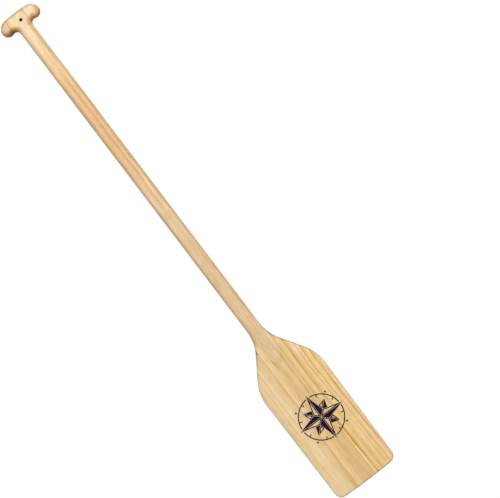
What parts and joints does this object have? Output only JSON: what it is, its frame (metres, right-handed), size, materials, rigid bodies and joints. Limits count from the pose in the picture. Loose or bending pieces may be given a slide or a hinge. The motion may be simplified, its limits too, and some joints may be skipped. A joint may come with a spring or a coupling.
{
  "type": "canoe paddle",
  "caption": "Wooden canoe paddle: a T-grip drilled for hanging, a straight rounded shaft and a long flat blade with sloping shoulders, glued up from staves laid side by side.",
  "frame": {"origin": "centre of the bounding box in X and Y, on the plane that the paddle's back lies on", "axes": "+Y along the shaft from the blade to the grip, +X across the blade to the right with the grip up, +Z out of the front face"},
  "size_m": [0.152, 1.22, 0.028],
  "materials": {
    "shaft_wood": "clear-coated softwood, satin",
    "left_blade_wood": "clear-coated softwood, satin",
    "right_blade_wood": "clear-coated softwood, satin",
    "left_grip_wood": "clear-coated softwood, satin",
    "right_grip_wood": "clear-coated softwood, satin",
    "glue": "set wood glue, flush with the wood",
    "print_ink": "screen-printed ink under the clear coat"
  },
  "bodies": {
    "root": {"shaft_stave": "shaft_wood", "left_blade_stave": "left_blade_wood", "right_blade_stave": "right_blade_wood", "left_grip_block": "left_grip_wood", "right_grip_block": "right_grip_wood", "left_blade_glue_line": "glue", "right_blade_glue_line": "glue", "left_grip_glue_line": "glue", "right_grip_glue_line": "glue"}
  },
  "joints": []
}
